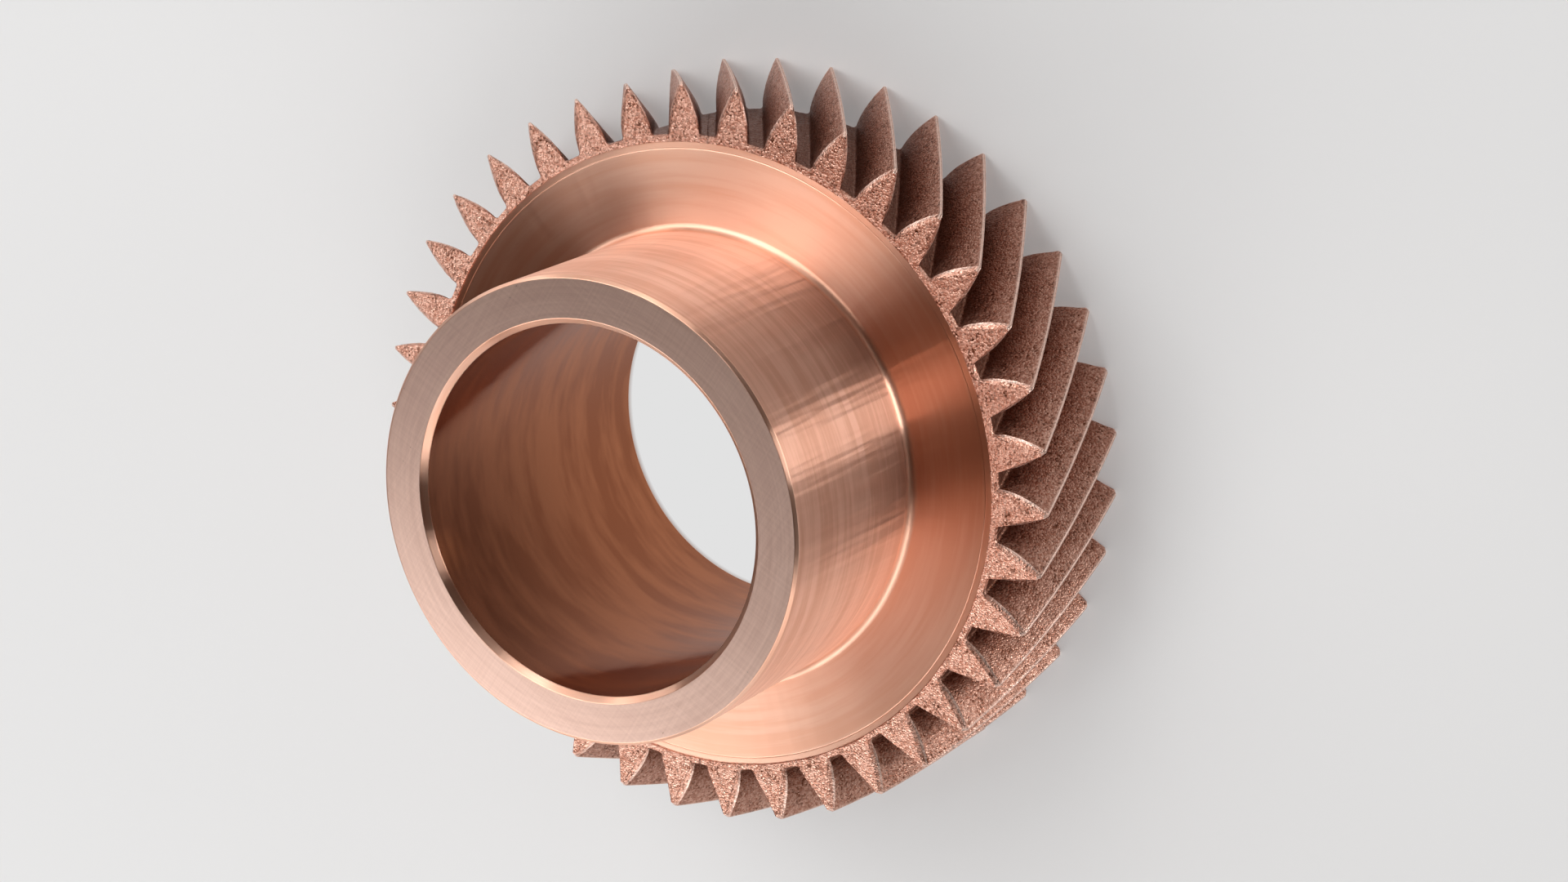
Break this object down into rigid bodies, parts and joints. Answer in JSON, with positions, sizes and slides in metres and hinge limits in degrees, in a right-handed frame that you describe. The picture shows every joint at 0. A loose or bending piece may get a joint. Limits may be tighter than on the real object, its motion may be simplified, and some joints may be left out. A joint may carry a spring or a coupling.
{
  "type": "gear-shaped diamond dressing wheel",
  "caption": "Helical gear-shaped diamond dressing wheel with grit-plated involute teeth, a turned web face, a long tubular hub and a smooth through bore.",
  "frame": {"origin": "centre of the back face of the teeth, on the axis of rotation; the part stands on that face", "axes": "+Z along the axis of rotation, from the back of the toothed disc towards the end of the hub"},
  "size_m": [0.1036, 0.1036, 0.053],
  "materials": {
    "dressing_gear": "copper-toned, turned to a satin sheen; teeth plated with fine diamond grit"
  },
  "bodies": {
    "root": {"dressing_gear": "dressing_gear"}
  },
  "joints": []
}
